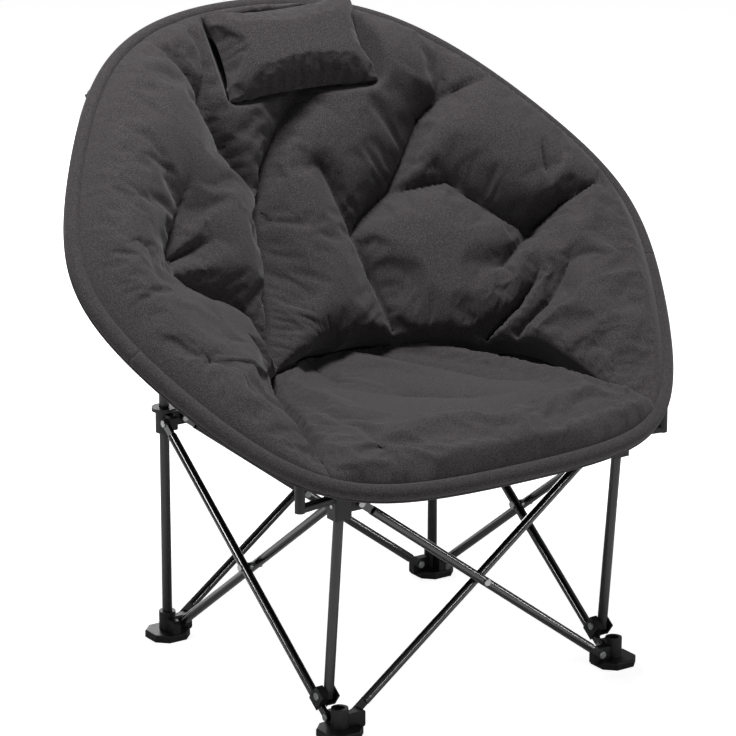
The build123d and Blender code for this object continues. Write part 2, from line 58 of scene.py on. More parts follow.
def add_node(tree, kind, inputs=None, **settings):
    """Adds a node, sets its properties, and fills its inputs with values or other nodes' outputs."""
    node = tree.nodes.new(kind)
    for name, value in settings.items():
        setattr(node, name, value)
    for name, value in (inputs or {}).items():
        if isinstance(value, bpy.types.NodeSocket):
            tree.links.new(value, node.inputs[name])
        else:
            node.inputs[name].default_value = value
    return node


def new_material(name, **shader_inputs):
    """A material with one Principled shader, and that shader's tree."""
    material = bpy.data.materials.new(name)
    material.use_nodes = True
    tree = material.node_tree
    tree.nodes.clear()
    inputs = {key.replace("_", " "): value for key, value in shader_inputs.items()}
    shader = add_node(tree, "ShaderNodeBsdfPrincipled", inputs)
    add_node(tree, "ShaderNodeOutputMaterial", {"Surface": shader.outputs[0]})
    return material, tree, shader


def dress(material, *prefixes):
    """Gives the material to the CAD nodes whose names start with one of the prefixes."""
    for name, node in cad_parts.items():
        if name.startswith(prefixes):
            node.data.materials.clear()
            node.data.materials.append(material)


# Moulded ABS: a fine dull grain that breaks up its highlights.
moulded_abs, tree, shader = new_material(
    "moulded_abs", Base_Color=linear(PLASTIC_HEX), Roughness=0.46, IOR=1.54)
place = add_node(tree, "ShaderNodeTexCoord").outputs["Object"]
grain = add_node(tree, "ShaderNodeTexNoise", {"Vector": place, "Scale": 1 / MOULD_GRAIN, "Detail": 2.0})
bump = add_node(tree, "ShaderNodeBump",
                {"Height": grain.outputs["Fac"], "Strength": 0.25, "Distance": 0.0002})
tree.links.new(bump.outputs["Normal"], shader.inputs["Normal"])
dress(moulded_abs, "foot_f", "foot_r", "hub_f", "hub_r", "clip_f", "leg_cap")

# ---- Legs and braces ----
# Round steel tube, powder coated black: the braces in gloss, the four legs in satin. The braces'
# ends are pressed flat and drilled for their rivets.
GLOSS_HEX = "#0d0d0e"
SATIN_HEX = "#202022"
ORANGE_PEEL = 0.006            # the slight waviness that a baked powder coat keeps


def powder_coat(name, hex_value, roughness, coat):
    """Baked powder coat with a smooth skin over it: its faint waves make reflected lines uneven."""
    material, tree, shader = new_material(
        name, Base_Color=linear(hex_value), Roughness=roughness, IOR=1.6, Coat_Weight=coat,
        Coat_Roughness=0.07)
    place = add_node(tree, "ShaderNodeTexCoord").outputs["Object"]
    peel = add_node(tree, "ShaderNodeTexNoise",
                    {"Vector": place, "Scale": 1 / ORANGE_PEEL, "Detail": 1.0})
    bump = add_node(tree, "ShaderNodeBump",
                    {"Height": peel.outputs["Fac"], "Strength": 0.05, "Distance": 0.0002})
    tree.links.new(bump.outputs["Normal"], shader.inputs["Normal"])
    return material


dress(powder_coat("gloss_powder_coat", GLOSS_HEX, 0.13, 1.0),
      "left_brace", "right_brace", "front_brace", "rear_brace")
dress(powder_coat("satin_powder_coat", SATIN_HEX, 0.36, 0.1), "leg_f", "leg_rl", "leg_rr")

# ---- Rivets ----
# Zinc-plated steel, upset cold at the crossings, feet, hubs and clips. The plating leaves them
# bright but a little dull.
ZINC_HEX = "#b9bbbd"
zinc_plate, tree, shader = new_material(
    "zinc_plate", Base_Color=linear(ZINC_HEX), Metallic=1.0, Roughness=0.3)
dress(zinc_plate, "foot_rivets", "hub_rivets", "clip_rivet",
      "left_cross", "right_cross", "front_cross", "rear_cross")

# ---- Rim cover ----
# The seat's edge is a sleeve of the same heathered cloth, sewn round the bent rim tubes, with a
# piped seam where the padding starts. The rim is a closed curve that falls from back to front.
RIM_HALF = np.array([          # its centre line on the right, from the back round to the front
    (0, 0.406, 0.971), (0.310, 0.301, 0.903), (0.471, 0.118, 0.748), (0.486, -0.089, 0.586),
    (0.436, -0.190, 0.514), (0.342, -0.315, 0.434), (0.200, -0.387, 0.404), (0, -0.406, 0.401)])
RIM_TURNS = np.radians([0, 37.7, 70, 105.5, 120, 140, 160, 180])   # their turns from the back
KNUCKLE = 3                    # index of the joint where the rim folds
SLEEVE_R = 0.0125
SLEEVE_OVAL = 0.05             # share by which its section is narrower across, and taller
SLEEVE_SIDES = 28
PIPING_R = 0.0026
PIPING_LEAN = 0.12             # outwards of the sleeve's top, as a share of the sleeve's radius
PIPING_RISE = 0.3              # its middle over the sleeve, as a share of its own radius
RIM_STEPS = 720
FABRIC_HEX = "#3e3b3c"
FLECK_LIGHT_HEX = "#5b5758"
FLECK_DARK_HEX = "#232122"
THREAD = 0.0011                # thread spacing of the woven cloth

# The rim is fitted to RIM_HALF by least squares, as waves that are whole in one turn.
knuckle_turn = RIM_TURNS[KNUCKLE]
cosines = np.arange(6)
sines = np.arange(1, 6)
rim_y, rim_z = np.linalg.lstsq(np.cos(np.outer(RIM_TURNS, cosines)), RIM_HALF[:, 1:], rcond=None)[0].T
rim_x = np.linalg.lstsq(np.sin(np.outer(RIM_TURNS, sines)), RIM_HALF[:, 0], rcond=None)[0]


def rim(turn):
    """Rim point at a turn from the back: a sum of sines in x, and of cosines in y and z."""
    turn = np.asarray(turn, float)[..., None]
    return np.stack([np.sin(turn * sines) @ rim_x, np.cos(turn * cosines) @ rim_y,
                     np.cos(turn * cosines) @ rim_z], -1)


def unit(vectors):
    """Vectors over their own lengths."""
    return vectors / np.linalg.norm(vectors, axis=-1, keepdims=True)


BOWL = np.array([0, 0.011, 0.318])   # where the slung cloth is lowest
BOWL_POWER = 1.25              # how fast the bowl steepens towards the rim
BOWL_ROUND = 0.014             # how far its point is rounded off
NEAR_RIM = 0.96                # share at which the cloth's way in from the rim is read


def slung(turn, share):
    """Cloth point at a share of the way from BOWL to the rim.

    Its height over BOWL is the root of (rim height x share^BOWL_POWER)^2 + BOWL_ROUND^2.
    """
    edge = rim(turn)
    point = BOWL + (edge - BOWL) * share[..., None]
    rise = (edge[..., 2] - BOWL[2]) * share ** BOWL_POWER
    point[..., 2] = BOWL[2] + np.hypot(rise, BOWL_ROUND)
    return point


def slung_normal(turn, share, step=1e-3):
    """Unit normal of the cloth towards the sitter, from differences along both parameters."""
    around = slung(turn + step, share) - slung(turn - step, share)
    out = slung(turn, share + step) - slung(turn, share - step)
    return unit(np.cross(around, out))


def mesh_piece(name, points, faces, material):
    """A smooth-shaded mesh object from an array of points and a list of faces."""
    mesh = bpy.data.meshes.new(name)
    mesh.from_pydata(np.asarray(points).reshape(-1, 3).tolist(), [], [list(map(int, f)) for f in faces])
    mesh.polygons.foreach_set("use_smooth", [True] * len(mesh.polygons))
    mesh.materials.append(material)
    piece = bpy.data.objects.new(name, mesh)
    bpy.context.scene.collection.objects.link(piece)
    return piece


def grid_faces(rows, columns, wrap=False, start=0):
    """Quads of a grid of points stored row by row; wrap joins its last column to its first."""
    last = columns if wrap else columns - 1
    row, column = np.meshgrid(np.arange(rows - 1), np.arange(last), indexing="ij")
    row, column = row.ravel(), column.ravel()
    after = (column + 1) % columns
    quads = np.stack([row * columns + column, row * columns + after,
                      (row + 1) * columns + after, (row + 1) * columns + column], -1)
    return quads + start


def heathered_cloth(name, base_hex, light_hex, dark_hex, relief):
    """Plain-woven polyester of mixed yarns: matte, softly flecked, with a fine raised weave."""
    material, tree, shader = new_material(
        name, Roughness=0.92, Sheen_Weight=0.12, Sheen_Roughness=0.5, IOR=1.45)
    shader.inputs["Specular IOR Level"].default_value = 0.25
    place = add_node(tree, "ShaderNodeTexCoord").outputs["Object"]
    yarn = add_node(tree, "ShaderNodeTexNoise",
                    {"Vector": place, "Scale": 0.7 / THREAD, "Detail": 3.0, "Roughness": 0.75})
    flecks = add_node(tree, "ShaderNodeValToRGB", {"Fac": yarn.outputs["Fac"]})
    ramp = flecks.color_ramp
    ramp.elements[0].position, ramp.elements[0].color = 0.34, linear(dark_hex)
    ramp.elements[1].position, ramp.elements[1].color = 0.68, linear(light_hex)
    ramp.elements.new(0.5).color = linear(base_hex)
    tree.links.new(flecks.outputs["Color"], shader.inputs["Base Color"])
    weave = add_node(tree, "ShaderNodeTexNoise", {"Vector": place, "Scale": 1 / THREAD, "Detail": 2.0})
    bump = add_node(tree, "ShaderNodeBump",
                    {"Height": weave.outputs["Fac"], "Strength": relief, "Distance": 0.0006})
    tree.links.new(bump.outputs["Normal"], shader.inputs["Normal"])
    return material


seat_cloth = heathered_cloth("heathered_polyester", FABRIC_HEX, FLECK_LIGHT_HEX, FLECK_DARK_HEX, 0.5)


def swept(name, path, across, up, radii, material):
    """Closed tube: a ring of radii in the plane of across and up at each path point, with end caps."""
    angles = np.linspace(0, 2 * np.pi, SLEEVE_SIDES, endpoint=False)
    ring = (np.cos(angles)[:, None] * across[:, None] + np.sin(angles)[:, None] * up[:, None])
    points = path[:, None] + ring * radii(angles)[None, :, None]
    rows = len(path)
    faces = list(grid_faces(rows, SLEEVE_SIDES, wrap=True))
    faces += [range(SLEEVE_SIDES)[::-1], range((rows - 1) * SLEEVE_SIDES, rows * SLEEVE_SIDES)]
    return mesh_piece(name, points, faces, material)


def rim_frame(turns, step=1e-3):
    """Rim points with unit vectors inwards along the cloth and up along its normal."""
    points = rim(turns)
    along = unit(rim(turns + step) - rim(turns - step))
    inward = slung(turns, np.full_like(turns, NEAR_RIM)) - points
    inward = unit(inward - along * (inward * along).sum(-1, keepdims=True))
    return points, inward, unit(np.cross(along, inward))


def ride_seat(piece, body, *nodes, slot="grey_fabric"):
    """Rides a soft piece on its half of the seat, and hides the CAD nodes that it stands in for.
    """
    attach(piece, body)
    if nodes:
        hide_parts(*nodes)
    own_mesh(piece)


# Each part of the rim: its first and last turn, and the body that it rides on.
rim_parts = {
    "back": (-knuckle_turn, knuckle_turn, "saucer_back"),
    "front": (knuckle_turn, 2 * np.pi - knuckle_turn, "saucer_front"),
}
RIM_NODES = {
    "back": ("rim_sleeve_back", "rim_tube_back", "rim_tubes_side", "rim_coupler_shoulder",
             "rim_knuckle"),
    "front": ("rim_sleeve_front", "rim_tube_front", "rim_tubes_arm", "rim_coupler_hub"),
}
for half, (start, end, body) in rim_parts.items():
    turns = np.linspace(start, end, int(RIM_STEPS * (end - start) / (2 * np.pi)))
    points, inward, above = rim_frame(turns)
    sleeve = swept(f"rim_cover_{half}", points, inward, above,
                   lambda angles: SLEEVE_R * (1 - SLEEVE_OVAL * np.cos(2 * angles)), seat_cloth)
    ride_seat(sleeve, body, *RIM_NODES[half])
    seam = points + (above - inward * PIPING_LEAN) * (SLEEVE_R + PIPING_R * PIPING_RISE)
    piping = swept(f"rim_piping_{half}", seam, inward, above,
                   lambda angles: np.full_like(angles, PIPING_R), seat_cloth)
    ride_seat(piping, body)

# ---- Back cushion, in three parts ----
# Fibre-filled cloth, sewn down to the sling along seams that make deep valleys in the filling. It
# is one cushion round the back and arms, cut where the rim folds.
CUSHION_CROWN = 0.086          # thickness of the filling away from any seam
CUSHION_EDGE = 0.0125          # height of its edge, on top of the rim's sleeve
RIM_ROLL = 0.115               # width of the round roll along the rim
INNER_THICK = 0.048            # thickness left at the seat's crease
INNER_ROLL = 0.060
LEAST_EDGE = 0.7               # least thickness, as a share of the edge's
EDGE_INSET = 0.002             # from the rim's line to the cushion's edge
SLING_GAP = 0.001              # between a cushion's underside and the sling's line
ROLL_POWER = 2.2               # the two powers of a roll's profile
ROLL_ROUND = 0.45
CUSHION_END = np.radians(146)  # where the cushion runs out, at the front corners
CUSHION_FADE = np.radians(34)  # over which it thins out before its ends
FADE_POWER = 0.6
STEPS_ROUND = 420
STEPS_ACROSS = 90
CUSHION_PRESSURE = 3.0
CUSHION_SLACK = 0.05
CUSHION_CAP = 0.016            # most that the filling lifts a point
CLOTH_FRAMES = 20              # frames for which the cloth fills out
HELD_WIDTH = 0.006             # width of a seam's hold on the cloth
SHALLOW_GIVE = 0.02            # how much further off a seam without depth counts
EDGE_HOLD = 0.8                # share of its distance at which the cushion's edge counts
FULL_HOLD = 0.05               # depth from which a seam holds fully
# The cushion's inner edge, at the seat's crease: turns from the back, and shares out to the rim.
INNER_TURNS = np.radians([0, 40, 66, 90, 104, 114, 123, 138, 146])
INNER_SHARES = [0.28, 0.31, 0.37, 0.44, 0.54, 0.62, 0.69, 0.83, 0.93]
# Each seam or fold: its route as (degrees from the back, share out to the rim, depth in mm), and
# how wide a valley it pulls, in mm.
SEAM_DEEPER = 1.45             # on all depths
SEAM_WIDER = 1.45              # on all widths
VALLEY_BLEND = 3               # power that blends the valleys of seams that meet
SEAMS = [
    (70, [(-13, 0.99, 26), (-15, 0.90, 30), (-20, 0.84, 40)]),
    (80, [(-23, 1.00, 25), (-20, 0.88, 34), (-19, 0.76, 52), (-16, 0.66, 40)]),
    (80, [(5, 0.80, 30), (0, 0.75, 40), (-8, 0.68, 52), (-16, 0.60, 56), (-26, 0.50, 58), (-40, 0.45, 58),
          (-62, 0.39, 55)]),
    (75, [(-44, 0.78, 14), (-56, 0.76, 42), (-64, 0.76, 58), (-56, 0.71, 36), (-50, 0.68, 8)]),
    (80, [(-68, 0.73, 46), (-60, 0.60, 42), (-56, 0.52, 46), (-63, 0.44, 50)]),
    (70, [(8, 0.66, 18), (17, 0.54, 34), (24, 0.44, 38), (40, 0.33, 30)]),
    (85, [(40, 0.99, 28), (42, 0.88, 50), (38, 0.82, 56), (35, 0.72, 60), (32, 0.65, 62), (22, 0.57, 52),
          (18, 0.53, 40)]),
    (60, [(42, 0.88, 40), (50, 0.96, 14)]),
    (75, [(34, 0.65, 46), (48, 0.72, 40), (60, 0.72, 44), (74, 0.75, 66)]),
    (75, [(74, 0.75, 66), (78, 0.85, 46), (83, 0.95, 22)]),
    (60, [(74, 0.75, 60), (74, 0.62, 26)]),
    (45, [(66, 0.91, 10), (70, 0.88, 22), (73, 0.86, 8)]),
    (60, [(91, 0.68, 20), (93, 0.58, 44), (91, 0.47, 48)]),
    (55, [(99, 0.78, 14), (103, 0.67, 34), (104, 0.56, 38)]),
    (60, [(-98, 0.99, 6), (-112, 0.90, 14), (-122, 0.84, 8)]),
]


def route_distance(points, route):
    """Distance of each point to a seam's route on the cloth, and the seam's depth where nearest."""
    route = np.array(route, float)
    corners = slung(np.radians(route[:, 0]), route[:, 1])
    nearest = np.full(points.shape[:-1], np.inf)
    depth = np.zeros(points.shape[:-1])
    for start, end, deep_start, deep_end in zip(corners, corners[1:], route[:, 2], route[1:, 2]):
        run = end - start
        along = np.clip(((points - start) @ run) / (run @ run), 0, 1)
        away = np.linalg.norm(points - (start + along[..., None] * run), axis=-1)
        closer = away < nearest
        nearest = np.where(closer, away, nearest)
        depth = np.where(closer, deep_start + (deep_end - deep_start) * along, depth)
    return nearest, depth * SEAM_DEEPER / 1000


def roll(distance, width):
    """Rounded rise from 0 at a seam to 1 at the width: (1 - (1 - distance / width)^2.2)^0.45."""
    rest = 1 - np.clip(distance / width, 0, 1)
    return (1 - rest ** ROLL_POWER) ** ROLL_ROUND


def cushion_thickness(points, from_rim, from_inner, end_share):
    """Filling thickness: a roll at the rim and one at the seat's crease, less the seams' valleys.

    A valley is depth x (1 - roll); where seams meet, theirs add as (sum of cubes)^(1/3).
    """
    thick = CUSHION_EDGE + (CUSHION_CROWN - CUSHION_EDGE) * roll(from_rim, RIM_ROLL)
    thick = np.minimum(thick, INNER_THICK + (CUSHION_CROWN - INNER_THICK) * roll(from_inner, INNER_ROLL))
    thick = CUSHION_EDGE + (thick - CUSHION_EDGE) * end_share
    valley = np.zeros_like(thick)
    for width, route in SEAMS:
        nearest, depth = route_distance(points, route)
        valley += (depth * (1 - roll(nearest, width * SEAM_WIDER / 1000))) ** VALLEY_BLEND
    valley = valley ** (1 / VALLEY_BLEND)
    filled = np.clip(thick / CUSHION_CROWN, 0, 1)
    return np.maximum(thick - valley * filled, CUSHION_EDGE * LEAST_EDGE)


turns = np.linspace(-CUSHION_END, CUSHION_END, STEPS_ROUND)
fractions = np.linspace(0, 1, STEPS_ACROSS)
inner = np.interp(np.abs(turns), INNER_TURNS, INNER_SHARES)
rim_reach = np.linalg.norm(rim(turns) - BOWL, axis=-1)
outer = 1 - EDGE_INSET / rim_reach
share = inner[:, None] + (outer - inner)[:, None] * fractions
turn_grid = np.repeat(turns[:, None], STEPS_ACROSS, 1)
sling = slung(turn_grid, share)
up_from_sling = slung_normal(turn_grid, share)
from_rim = (outer[:, None] - share) * rim_reach[:, None]
from_inner = (share - inner[:, None]) * rim_reach[:, None]
end_share = np.clip((CUSHION_END - np.abs(turn_grid)) / CUSHION_FADE, 0, 1) ** FADE_POWER
thickness = cushion_thickness(sling, from_rim, from_inner, end_share)
cushion_front = sling + up_from_sling * thickness[..., None]
cushion_rear = sling + up_from_sling * SLING_GAP


def settle(grid, pinned, pressure, slack, cap):
    """Lets a grid of cloth fill out: Blender's Cloth at a pressure, held where pinned is 1.

    slack is the share by which the cloth is cut larger, and no point moves more than cap.
    """
    rows, columns = grid.shape[:2]
    sheet = mesh_piece("settling_cloth", grid, grid_faces(rows, columns)[:, ::-1], seat_cloth)
    group = sheet.vertex_groups.new(name="held")
    weights = pinned.ravel()
    for level in np.unique(np.round(weights, 1)):
        members = np.flatnonzero(np.round(weights, 1) == level)
        group.add(members.tolist(), float(level), "REPLACE")
    cloth = sheet.modifiers.new("cloth", "CLOTH").settings
    cloth.quality = 5
    cloth.mass = 0.3
    cloth.tension_stiffness = cloth.compression_stiffness = 12
    cloth.shear_stiffness = 5
    cloth.bending_stiffness = 0.4
    cloth.use_pressure = True
    cloth.uniform_pressure_force = pressure
    cloth.shrink_min = -slack
    cloth.vertex_group_mass = "held"
    cloth.effector_weights.gravity = 0
    for frame_number in range(1, CLOTH_FRAMES + 1):
        bpy.context.scene.frame_set(frame_number)
    settled = sheet.evaluated_get(bpy.context.evaluated_depsgraph_get()).to_mesh()
    points = np.zeros(rows * columns * 3)
    settled.vertices.foreach_get("co", points)
    sheet.to_mesh_clear()
    mesh = sheet.data
    bpy.data.objects.remove(sheet)
    bpy.data.meshes.remove(mesh)
    bpy.context.scene.frame_set(1)
    move = points.reshape(grid.shape) - grid
    size = np.linalg.norm(move, axis=-1, keepdims=True)
    return grid + move * np.minimum(1, cap / np.maximum(size, 1e-9))


def closed_pad(name, front, rear, material):
    """Closed piece from its front and rear grids, with walls and sharp edges along their four sides."""
    rows, columns = front.shape[:2]
    points = np.concatenate([front.reshape(-1, 3), rear.reshape(-1, 3)])
    count = rows * columns
    index = np.arange(count).reshape(rows, columns)
    edge = np.concatenate([index[0, :-1], index[:-1, -1], index[-1, :0:-1], index[:0:-1, 0]])
    after = np.roll(edge, -1)
    faces = list(grid_faces(rows, columns)[:, ::-1])
    faces += list(grid_faces(rows, columns, start=count))
    faces += list(np.stack([edge, after, after + count, edge + count], -1))
    piece = mesh_piece(name, points, faces, material)
    sharp = piece.data.attributes.new("sharp_edge", "BOOLEAN", "EDGE")
    ends = np.zeros(len(piece.data.edges) * 2, dtype=np.int64)
    piece.data.edges.foreach_get("vertices", ends)
    ends = ends.reshape(-1, 2)
    rim_points = set(edge.tolist()) | set((edge + count).tolist())
    around = np.isin(ends, list(rim_points)).all(axis=1)
    sharp.data.foreach_set("value", around)
    return piece


def point_out(piece, middle):
    """Turns a closed piece's faces outwards.

    The sum of area x (centre - middle) . normal is three times the volume, and is below zero
    where the faces point in.
    """
    mesh = piece.data
    centres = np.zeros(len(mesh.polygons) * 3)
    normals = np.zeros(len(mesh.polygons) * 3)
    mesh.polygons.foreach_get("center", centres)
    mesh.polygons.foreach_get("normal", normals)
    areas = np.zeros(len(mesh.polygons))
    mesh.polygons.foreach_get("area", areas)
    flux = ((centres.reshape(-1, 3) - middle) * normals.reshape(-1, 3)).sum(-1) @ areas
    if flux < 0:
        mesh.flip_normals()


def hold(distance):
    """How firmly a seam holds the cloth: 1 up to half of HELD_WIDTH away, 0 from one and a half on."""
    return np.clip(1.5 - distance / HELD_WIDTH, 0, 1)


near_seam = np.full(sling.shape[:-1], np.inf)
for width, route in SEAMS:
    distance, depth = route_distance(sling, route)
    give = SHALLOW_GIVE * (1 - np.clip(depth / FULL_HOLD, 0, 1))
    near_seam = np.minimum(near_seam, distance + give)
near_edge = np.minimum(from_rim, from_inner)
held = hold(np.minimum(near_seam, near_edge * EDGE_HOLD))
held[[0, -1]] = 1
cushion_front = settle(cushion_front, held, CUSHION_PRESSURE, CUSHION_SLACK, CUSHION_CAP)

# The head pillow's size and place: it presses a hollow into the padding behind it.
PILLOW_W, PILLOW_D, PILLOW_T = 0.270, 0.155, 0.094
PILLOW_AT = np.array([0.042, 0.2928, 0.9190])
PILLOW_ANGLES = np.radians([52, -9, -9.5])   # leaning back, swung round, turned in its own plane
HOLLOW_W, HOLLOW_D = 0.44, 0.42   # half the hollow's flat floor, as shares of the pillow
HOLLOW_DEEP = 0.33             # the floor's depth under the pillow's middle, per thickness
HOLLOW_SLOPE = 1.6             # how steeply the padding rises round the pillow
HOLLOW_TURN = 0.9              # how far round from the back it may reach, in radians
leaned = Euler((PILLOW_ANGLES[0], 0, 0)).to_matrix()
swung = Euler((0, PILLOW_ANGLES[1], 0)).to_matrix()
turned = Euler((0, 0, PILLOW_ANGLES[2])).to_matrix()
pillow_axes = np.array(swung @ leaned @ turned)
on_pillow = (cushion_front - PILLOW_AT) @ pillow_axes
beside = np.maximum(np.abs(on_pillow[..., 0]) - PILLOW_W * HOLLOW_W, 0)
beside = np.hypot(beside, np.maximum(np.abs(on_pillow[..., 1]) - PILLOW_D * HOLLOW_D, 0))
ceiling = -PILLOW_T * HOLLOW_DEEP + beside * HOLLOW_SLOPE
sunk = np.maximum(on_pillow[..., 2] - ceiling, 0) * (np.abs(turn_grid) < HOLLOW_TURN)
cushion_front = cushion_front - sunk[..., None] * pillow_axes[:, 2]

cut_low = int(np.argmin(np.abs(turns + knuckle_turn)))
cut_high = STEPS_ROUND - 1 - cut_low
cushion_parts = {
    "cushion_back": (slice(cut_low, cut_high + 1), "saucer_back",
                     [f"pad_{panel}_{side}" for panel in ("back", "shoulder", "wing")
                      for side in ("left", "right")]),
    "cushion_arm_left": (slice(0, cut_low + 1), "saucer_front", ["pad_arm_left"]),
    "cushion_arm_right": (slice(cut_high, STEPS_ROUND), "saucer_front", ["pad_arm_right"]),
}
for name, (part, body, nodes) in cushion_parts.items():
    cushion = closed_pad(name, cushion_front[part], cushion_rear[part], seat_cloth)
    point_out(cushion, np.mean(sling[part].reshape(-1, 3), axis=0))
    ride_seat(cushion, body, *nodes)

# ---- Seat pad ----
# One pad of the same cloth and fibre filling, between the arms. It is sewn to the rim's sleeve in
# front and along the crease behind.
SEAT_TOP = 0.470
SEAT_REAR_HALF = 0.166         # half its width at the crease behind
SEAT_REAR_Y = 0.098
SEAT_REAR_BOW = 0.012          # how far that crease bows forward at its ends
SEAT_LENGTH = 0.45             # along its sides
SEAT_ROLL = 0.085              # width of the roll along its front edge
SEAT_SIDE_ROLL = 0.07
SEAT_REAR_ROLL = 0.06
SEAT_SIDE_DROP = 0.026         # how far its sides tuck down beside the arms
SEAT_REAR_DROP = 0.012
SEAT_OVER_SLING = 0.008        # least height of its top over the sling
SEAT_THIN = 0.002              # least thickness
SEAT_STEPS = 121
BEARING_STEPS = 1441           # turns at which the rim's bearing is worked out
SEAT_PRESSURE = 2.0
SEAT_SLACK = 0.05
SEAT_CAP = 0.010
SEAT_MIDDLE_DOWN = 0.03        # from the top's middle to a point inside the pad
FOLD_GIVE = 0.012              # how much further off a fold counts than a seam
# Each fold: its width in mm, and its route as (x, y, depth) in mm.
SEAT_FOLDS = [
    (120, [(-60, 60, 12), (-70, -20, 18), (-20, -110, 20), (60, -190, 12), (110, -215, 4)]),
    (120, [(60, 80, 12), (110, -20, 18), (150, -120, 20), (190, -190, 8)]),
    (90, [(-190, -250, 4), (-205, -330, 11), (-200, -385, 12)]),
]
across = np.linspace(-1, 1, SEAT_STEPS)
fore = np.linspace(0, 1, SEAT_STEPS)
front_turns = np.pi + (np.pi - CUSHION_END) * -across
front_edge = rim(front_turns)
front_inward = unit((BOWL - front_edge) * np.array([1, 1, 0]))
front_edge = front_edge + front_inward * EDGE_INSET
rear_edge = np.stack([across * SEAT_REAR_HALF, SEAT_REAR_Y - SEAT_REAR_BOW * across ** 2], -1)
seat_xy = (1 - fore)[:, None, None] * rear_edge + fore[:, None, None] * front_edge[None, :, :2]
from_front = np.linalg.norm(seat_xy - front_edge[None, :, :2], axis=-1)
from_side = (1 - np.abs(across))[None, :] * np.abs(seat_xy[:, -1:, 0])
front_z = front_edge[None, :, 2] + CUSHION_EDGE
side_drop = SEAT_SIDE_DROP * (1 - roll(from_side, SEAT_SIDE_ROLL))
rear_drop = SEAT_REAR_DROP * (1 - roll(fore * SEAT_LENGTH, SEAT_REAR_ROLL))[:, None]
top_z = SEAT_TOP - side_drop - rear_drop
seat_z = front_z + (top_z - front_z) * roll(from_front, SEAT_ROLL)


def sling_height(xy):
    """Height of the slung cloth under a point, at the rim turn that has the point's bearing."""
    offset = xy - BOWL[:2]
    bearing = np.arctan2(offset[..., 0], offset[..., 1])
    turns = np.linspace(-np.pi, np.pi, BEARING_STEPS)
    edge = rim(turns)
    edge_bearing = np.unwrap(np.arctan2(edge[:, 0], edge[:, 1] - BOWL[1]))
    turn = np.interp(bearing, edge_bearing, turns)
    reach = np.linalg.norm(rim(turn)[..., :2] - BOWL[:2], axis=-1)
    share = np.clip(np.linalg.norm(offset, axis=-1) / reach, 0, 1)
    return slung(turn, share)[..., 2]


seat_z = np.maximum(seat_z, sling_height(seat_xy) + SEAT_OVER_SLING)
near_fold = np.full(seat_z.shape, np.inf)
for width, route in SEAT_FOLDS:
    route = np.array(route, float)
    nearest = np.full(seat_z.shape, np.inf)
    depth = np.zeros(seat_z.shape)
    for start, end in zip(route, route[1:]):
        corner = start[:2] / 1000
        run = (end - start)[:2] / 1000
        along = np.clip(((seat_xy - corner) @ run) / (run @ run), 0, 1)
        away = np.linalg.norm(seat_xy - (corner + along[..., None] * run), axis=-1)
        depth = np.where(away < nearest, (start[2] + (end[2] - start[2]) * along) / 1000, depth)
        nearest = np.minimum(away, nearest)
    seat_z = seat_z - depth * (1 - roll(nearest, width / 1000))
    near_fold = np.minimum(near_fold, nearest + FOLD_GIVE)
seat_front = np.concatenate([seat_xy, seat_z[..., None]], -1)
seat_held = hold(np.minimum(near_fold, np.minimum(from_side, from_front)))
seat_held[[0, -1]] = 1
seat_front = settle(seat_front[:, ::-1], seat_held[:, ::-1], SEAT_PRESSURE, SEAT_SLACK, SEAT_CAP)[:, ::-1]
seat_base_z = np.minimum(sling_height(seat_front[..., :2]) + SLING_GAP, seat_front[..., 2] - SEAT_THIN)
seat_rear = np.concatenate([seat_front[..., :2], seat_base_z[..., None]], -1)
seat_pad = closed_pad("cushion_seat", seat_front, seat_rear, seat_cloth)
point_out(seat_pad, np.mean(seat_front.reshape(-1, 3), axis=0) - np.array([0, 0, SEAT_MIDDLE_DOWN]))
ride_seat(seat_pad, "saucer_front", "pad_seat")

# ---- Sling ----
# Thin black woven cloth slung from the rim under the padding; it carries the sitter. It is cut in
# a back and a front piece.
SLING_HEX = "#161616"
SLING_DARK_HEX = "#0a0a0a"
SLING_LIGHT_HEX = "#242424"
SLING_T = 0.0016
SLING_BELOW = 0.0006           # its top under the line that the cushions lie on
SLING_EDGE = 0.985             # share of the way out at which it meets the rim's sleeve
SLING_MIDDLE = 0.004           # share at which its grid starts, round the lowest point
SLING_STEPS = (220, 70)        # round and out
SLING_CROWD = 0.8              # power that draws its grid closer together near the rim
SLING_NODES = {"back": "cloth_back", "front": "cloth_seat"}
sling_cloth = heathered_cloth("black_sling", SLING_HEX, SLING_LIGHT_HEX, SLING_DARK_HEX, 0.3)
for half, (start, end, body) in rim_parts.items():
    turns = np.linspace(start, end, SLING_STEPS[0])
    shares = np.linspace(0, 1, SLING_STEPS[1]) ** SLING_CROWD * SLING_EDGE
    turn_grid, share_grid = np.meshgrid(turns, np.maximum(shares, SLING_MIDDLE), indexing="ij")
    surface = slung(turn_grid, share_grid)
    normal = slung_normal(turn_grid, share_grid)
    below = surface - normal * (SLING_T + SLING_BELOW)
    surface = surface - normal * SLING_BELOW
    sheet = closed_pad(f"sling_{half}", surface, below, sling_cloth)
    point_out(sheet, np.array([0, 0, 2.0]))
    ride_seat(sheet, body, SLING_NODES[half], slot="under_cloth")

